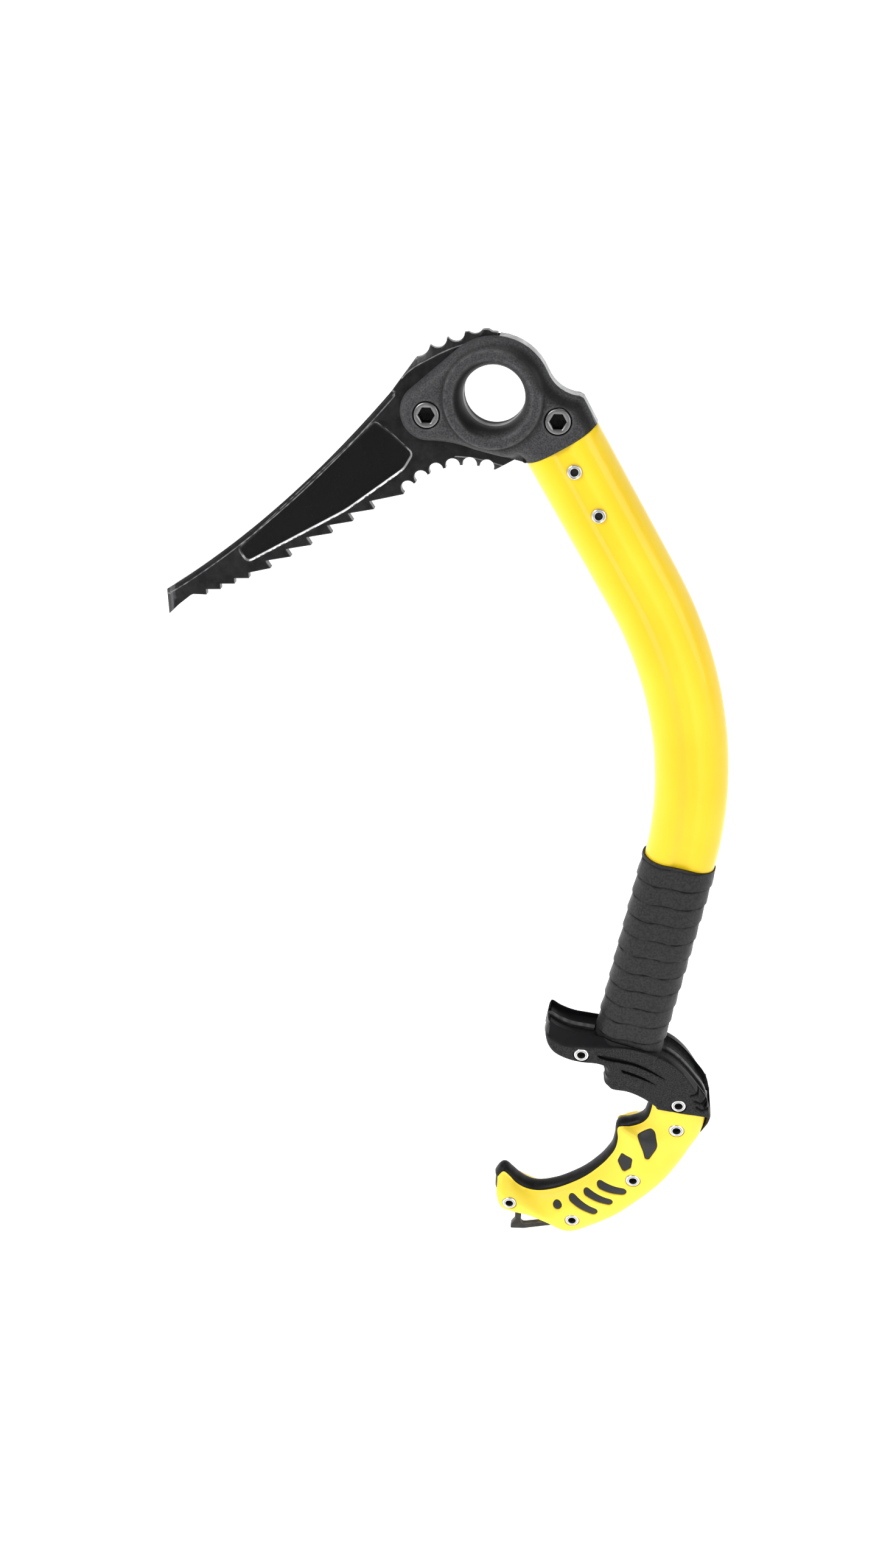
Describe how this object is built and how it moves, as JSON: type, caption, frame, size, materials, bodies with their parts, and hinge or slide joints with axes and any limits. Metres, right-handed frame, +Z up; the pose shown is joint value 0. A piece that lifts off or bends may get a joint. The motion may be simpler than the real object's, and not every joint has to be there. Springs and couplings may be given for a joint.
{
  "type": "ice climbing tool",
  "caption": "Ice climbing tool with a toothed steel pick, a ring head, a bent alloy shaft wound with tape and an offset pistol grip with finger rests and a tether eye.",
  "frame": {"origin": "centre of the head's carabiner hole, half way through the head", "axes": "+X from the pick towards the spine of the grip, +Y across the tool, +Z up along the tool towards the head"},
  "size_m": [0.2697, 0.0266, 0.4982],
  "materials": {
    "pick_steel": "semi-gloss black coating on forged steel",
    "head_alloy": "charcoal coating, fine blasted grain",
    "bare_alloy": "bare brushed metal",
    "bolt_steel": "dark gunmetal",
    "shaft_yellow": "glossy yellow coating",
    "rivet_steel": "bright turned steel",
    "tape_rubber": "matt black self-bonding tape",
    "frame_alloy": "dark grey coating",
    "pin_steel": "plain",
    "liner_rubber": "dark soft rubber",
    "black_shell": "black, grained sides",
    "yellow_shell": "satin yellow"
  },
  "bodies": {
    "root": {"pick": "pick_steel", "front_cheek": "head_alloy", "rear_cheek": "head_alloy", "head_spacer": "bare_alloy", "pick_bolt": "bolt_steel", "pick_nut": "bolt_steel", "shaft_bolt": "bolt_steel", "shaft_nut": "bolt_steel", "shaft_tube": "shaft_yellow", "shaft_rivets": "rivet_steel", "grip_tape": "tape_rubber", "handle_frame": "frame_alloy", "tang_pins": "pin_steel", "grip_liner": "liner_rubber", "upper_shell_front": "black_shell", "upper_shell_rear": "black_shell", "lower_shell_front": "yellow_shell", "lower_shell_rear": "yellow_shell", "upper_grip_rivets": "rivet_steel", "lower_grip_rivets": "rivet_steel"}
  },
  "joints": []
}
